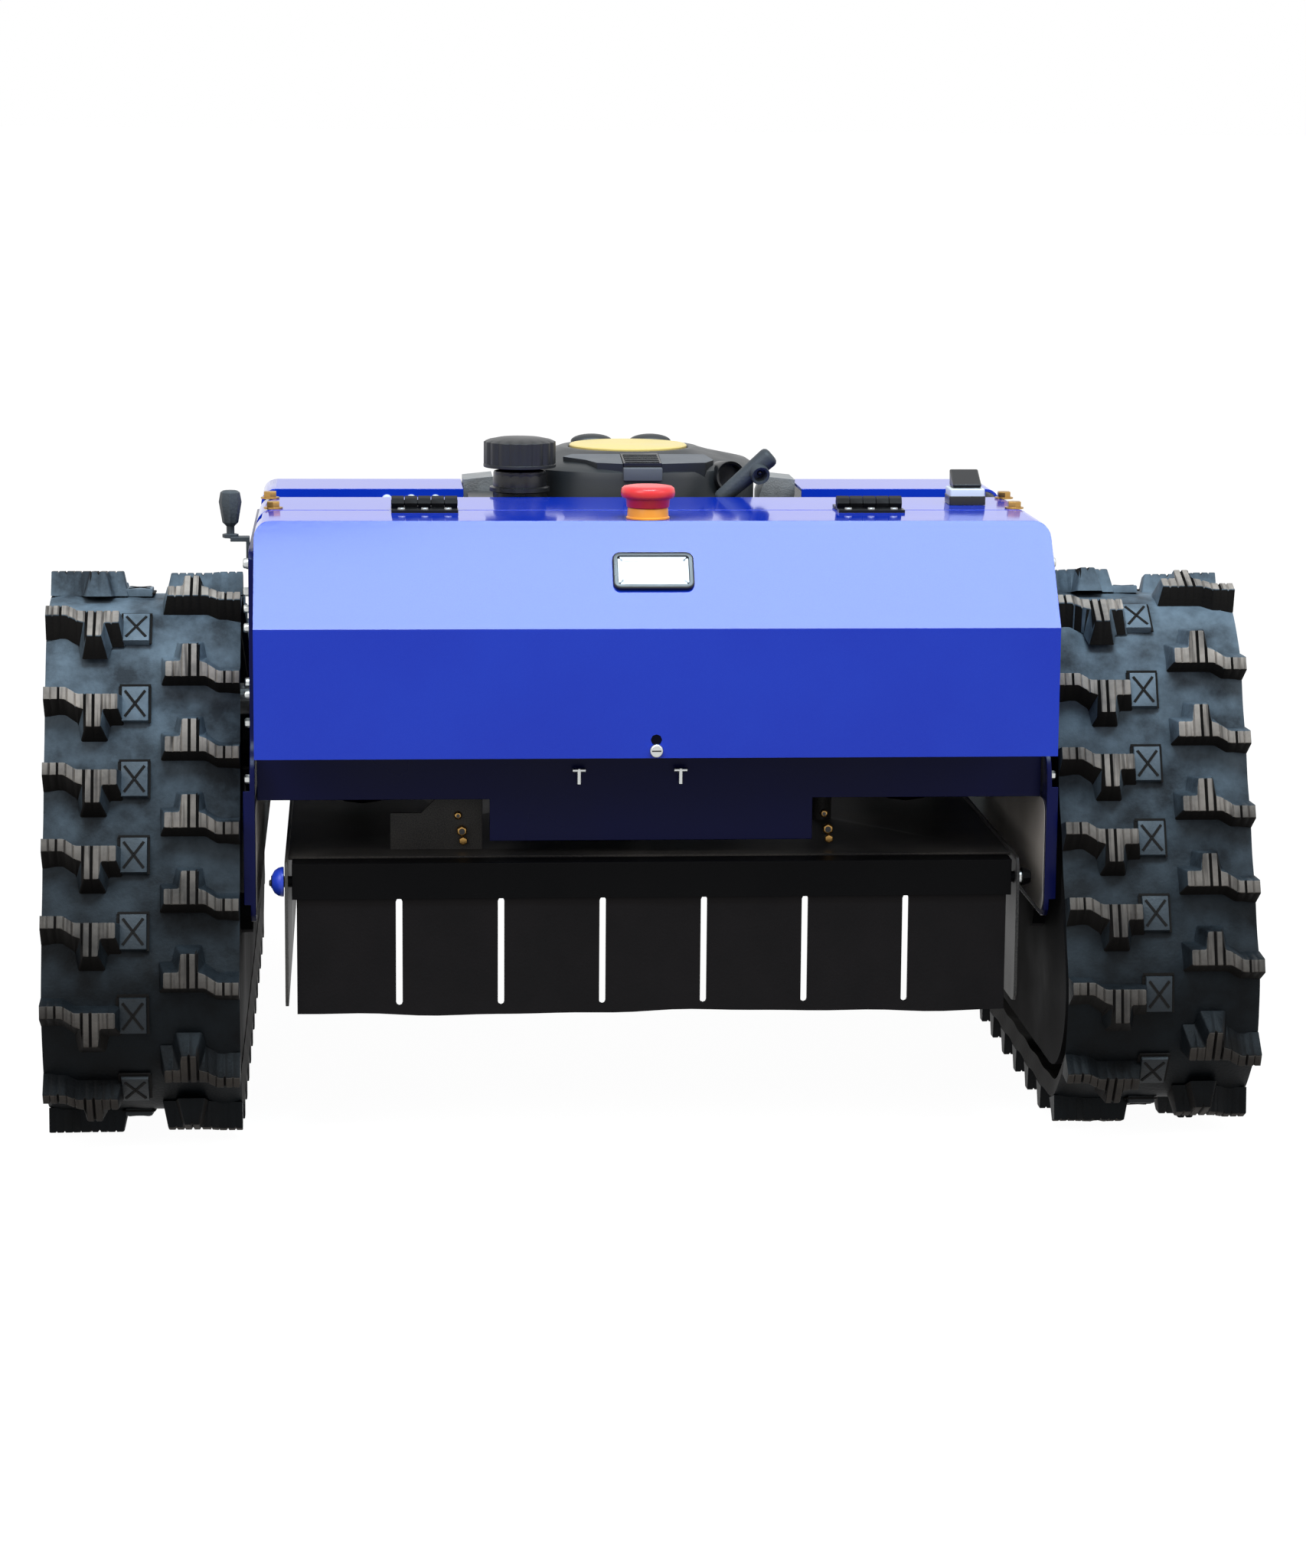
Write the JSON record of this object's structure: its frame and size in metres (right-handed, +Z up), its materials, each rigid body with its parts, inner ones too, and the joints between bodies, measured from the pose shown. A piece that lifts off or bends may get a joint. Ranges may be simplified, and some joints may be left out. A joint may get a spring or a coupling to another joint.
{
  "type": "remote control slope mower",
  "caption": "Tracked remote control slope mower with a hinged blue front cover, lifting rotary deck, rubber curtain, petrol engine and rubber tracks.",
  "frame": {"origin": "on the ground under the middle of the overall box", "axes": "+X to the right of a viewer facing the front cover, +Y to the rear, +Z up"},
  "size_m": [0.937, 0.8908, 0.527],
  "materials": {
    "blue_paint": "gloss powder coat",
    "black_paint": "satin powder coat",
    "rubber": "matt",
    "track_rubber": "matt, worn brown on the lug faces",
    "steel": "zinc plated or bare",
    "cast_aluminium": "as cast",
    "black_plastic": "moulded, satin",
    "red_plastic": "gloss",
    "yellow_plastic": "satin"
  },
  "bodies": {
    "chassis": {"antenna": "rubber", "battery_left": "black_plastic", "battery_right": "black_plastic", "cover_hinge_left": "black_paint", "cover_hinge_right": "black_paint", "drive_motor_left": "black_plastic", "drive_motor_right": "black_plastic", "front_guide_beam": "black_paint", "front_tray": "blue_paint", "gearbox_left": "cast_aluminium", "gearbox_right": "cast_aluminium", "lift_actuator": "cast_aluminium", "motor_controller": "cast_aluminium", "power_switch": "black_plastic", "rear_cover": "blue_paint", "rear_guide_beam": "black_paint", "rubber_track_left": "track_rubber", "rubber_track_right": "track_rubber", "side_plate_left": "blue_paint", "side_plate_right": "blue_paint", "top_plate": "blue_paint", "track_frame_left": "black_paint", "track_frame_right": "black_paint"},
    "front_cover": {"front_cover": "blue_paint", "display": "black_plastic", "stop_button_base": "yellow_plastic"},
    "stop_button": {"stop_button": "red_plastic"},
    "latch_screw": {"latch_screw": "steel"},
    "rocker": {"rocker": "black_plastic"},
    "deck": {"deck_shell": "black_paint", "actuator_rod": "steel", "crankcase": "cast_aluminium", "blower_housing": "black_plastic", "fuel_tank": "black_plastic", "muffler": "steel", "air_filter": "black_plastic"},
    "rotor": {"crankshaft": "steel", "blade": "steel"},
    "front_flap": {"front_flap": "black_paint", "front_curtain": "rubber"},
    "rear_flap": {"rear_flap": "black_paint", "rear_curtain": "rubber"},
    "recoil_handle": {"recoil_handle": "rubber"},
    "fuel_cap": {"fuel_cap": "black_plastic"},
    "drive_sprocket_left": {"drive_sprocket_left": "steel"},
    "front_idler_left": {"front_idler_left": "black_paint"},
    "rear_idler_left": {"rear_idler_left": "black_paint"},
    "carrier_roller_left": {"carrier_roller_left": "black_paint"},
    "road_roller_1_left": {"road_roller_1_left": "black_paint"},
    "road_roller_2_left": {"road_roller_2_left": "black_paint"},
    "road_roller_3_left": {"road_roller_3_left": "black_paint"},
    "drive_sprocket_right": {"drive_sprocket_right": "steel"},
    "front_idler_right": {"front_idler_right": "black_paint"},
    "rear_idler_right": {"rear_idler_right": "black_paint"},
    "carrier_roller_right": {"carrier_roller_right": "black_paint"},
    "road_roller_1_right": {"road_roller_1_right": "black_paint"},
    "road_roller_2_right": {"road_roller_2_right": "black_paint"},
    "road_roller_3_right": {"road_roller_3_right": "black_paint"}
  },
  "joints": [
    {"name": "cover_hinge", "type": "hinge", "parent": "chassis", "child": "front_cover", "pos_m": [0, -0.27883, 0.4868], "axis": [-1, 0, 0], "range_deg": [0, 80]},
    {"name": "stop_press", "type": "slide", "parent": "front_cover", "child": "stop_button", "axis": [0, 0, -1], "range_m": [0, 0.003], "stiffness_N_per_m": 1800, "springref_m": -0.001},
    {"name": "latch_turn", "type": "hinge", "parent": "front_cover", "child": "latch_screw", "pos_m": [-0.002, -0.41883, 0.313], "axis": [0, -1, 0], "range_deg": [0, 90]},
    {"name": "rocker_tip", "type": "hinge", "parent": "chassis", "child": "rocker", "pos_m": [0.259, -0.23083, 0.4943], "axis": [-1, 0, 0], "range_deg": [0, 18]},
    {"name": "deck_lift", "type": "slide", "parent": "chassis", "child": "deck", "axis": [0, 0, -1], "range_m": [0, 0.085]},
    {"name": "rotor_spin", "type": "hinge", "parent": "deck", "child": "rotor", "pos_m": [0, -0.04883, 0.29365], "axis": [0, 0, 1], "continuous": true},
    {"name": "front_flap_swing", "type": "hinge", "parent": "deck", "child": "front_flap", "pos_m": [0, -0.37183, 0.204], "axis": [-1, 0, 0], "range_deg": [-20, 60]},
    {"name": "rear_flap_swing", "type": "hinge", "parent": "deck", "child": "rear_flap", "pos_m": [0, 0.27917, 0.204], "axis": [1, 0, 0], "range_deg": [-20, 60]},
    {"name": "recoil_pull", "type": "slide", "parent": "deck", "child": "recoil_handle", "axis": [0.3003, -0.4504, 0.8408], "range_m": [0, 0.35], "stiffness_N_per_m": 25, "springref_m": -0.05},
    {"name": "fuel_cap_turn", "type": "hinge", "parent": "deck", "child": "fuel_cap", "pos_m": [-0.095, -0.14583, 0.5145], "axis": [0, 0, 1], "range_deg": [0, 90]},
    {"name": "drive_sprocket_left_spin", "type": "hinge", "parent": "chassis", "child": "drive_sprocket_left", "pos_m": [-0.36345, -0.24383, 0.327], "axis": [1, 0, 0], "continuous": true},
    {"name": "front_idler_left_spin", "type": "hinge", "parent": "chassis", "child": "front_idler_left", "pos_m": [-0.3935, -0.33183, 0.111], "axis": [1, 0, 0], "continuous": true},
    {"name": "rear_idler_left_spin", "type": "hinge", "parent": "chassis", "child": "rear_idler_left", "pos_m": [-0.3935, 0.33309, 0.111], "axis": [1, 0, 0], "continuous": true},
    {"name": "carrier_roller_left_spin", "type": "hinge", "parent": "chassis", "child": "carrier_roller_left", "pos_m": [-0.3935, 0.06927, 0.2514], "axis": [1, 0, 0], "continuous": true},
    {"name": "road_roller_1_left_spin", "type": "hinge", "parent": "chassis", "child": "road_roller_1_left", "pos_m": [-0.3935, -0.20939, 0.0704], "axis": [1, 0, 0], "continuous": true},
    {"name": "road_roller_2_left_spin", "type": "hinge", "parent": "chassis", "child": "road_roller_2_left", "pos_m": [-0.3935, 0.00063, 0.0704], "axis": [1, 0, 0], "continuous": true},
    {"name": "road_roller_3_left_spin", "type": "hinge", "parent": "chassis", "child": "road_roller_3_left", "pos_m": [-0.3935, 0.21064, 0.0704], "axis": [1, 0, 0], "continuous": true},
    {"name": "drive_sprocket_right_spin", "type": "hinge", "parent": "chassis", "child": "drive_sprocket_right", "pos_m": [0.36345, -0.24383, 0.327], "axis": [1, 0, 0], "continuous": true},
    {"name": "front_idler_right_spin", "type": "hinge", "parent": "chassis", "child": "front_idler_right", "pos_m": [0.3935, -0.33183, 0.111], "axis": [1, 0, 0], "continuous": true},
    {"name": "rear_idler_right_spin", "type": "hinge", "parent": "chassis", "child": "rear_idler_right", "pos_m": [0.3935, 0.33309, 0.111], "axis": [1, 0, 0], "continuous": true},
    {"name": "carrier_roller_right_spin", "type": "hinge", "parent": "chassis", "child": "carrier_roller_right", "pos_m": [0.3935, 0.06927, 0.2514], "axis": [1, 0, 0], "continuous": true},
    {"name": "road_roller_1_right_spin", "type": "hinge", "parent": "chassis", "child": "road_roller_1_right", "pos_m": [0.3935, -0.20939, 0.0704], "axis": [1, 0, 0], "continuous": true},
    {"name": "road_roller_2_right_spin", "type": "hinge", "parent": "chassis", "child": "road_roller_2_right", "pos_m": [0.3935, 0.00063, 0.0704], "axis": [1, 0, 0], "continuous": true},
    {"name": "road_roller_3_right_spin", "type": "hinge", "parent": "chassis", "child": "road_roller_3_right", "pos_m": [0.3935, 0.21064, 0.0704], "axis": [1, 0, 0], "continuous": true}
  ],
  "couplings": [
    {"joint": "front_idler_left_spin", "follows": "drive_sprocket_left_spin", "ratio": 0.88831},
    {"joint": "rear_idler_left_spin", "follows": "drive_sprocket_left_spin", "ratio": 0.88831},
    {"joint": "carrier_roller_left_spin", "follows": "drive_sprocket_left_spin", "ratio": 1.8017},
    {"joint": "road_roller_1_left_spin", "follows": "drive_sprocket_left_spin", "ratio": 1.6827},
    {"joint": "road_roller_2_left_spin", "follows": "drive_sprocket_left_spin", "ratio": 1.6827},
    {"joint": "road_roller_3_left_spin", "follows": "drive_sprocket_left_spin", "ratio": 1.6827},
    {"joint": "front_idler_right_spin", "follows": "drive_sprocket_right_spin", "ratio": 0.88831},
    {"joint": "rear_idler_right_spin", "follows": "drive_sprocket_right_spin", "ratio": 0.88831},
    {"joint": "carrier_roller_right_spin", "follows": "drive_sprocket_right_spin", "ratio": 1.8017},
    {"joint": "road_roller_1_right_spin", "follows": "drive_sprocket_right_spin", "ratio": 1.6827},
    {"joint": "road_roller_2_right_spin", "follows": "drive_sprocket_right_spin", "ratio": 1.6827},
    {"joint": "road_roller_3_right_spin", "follows": "drive_sprocket_right_spin", "ratio": 1.6827}
  ]
}
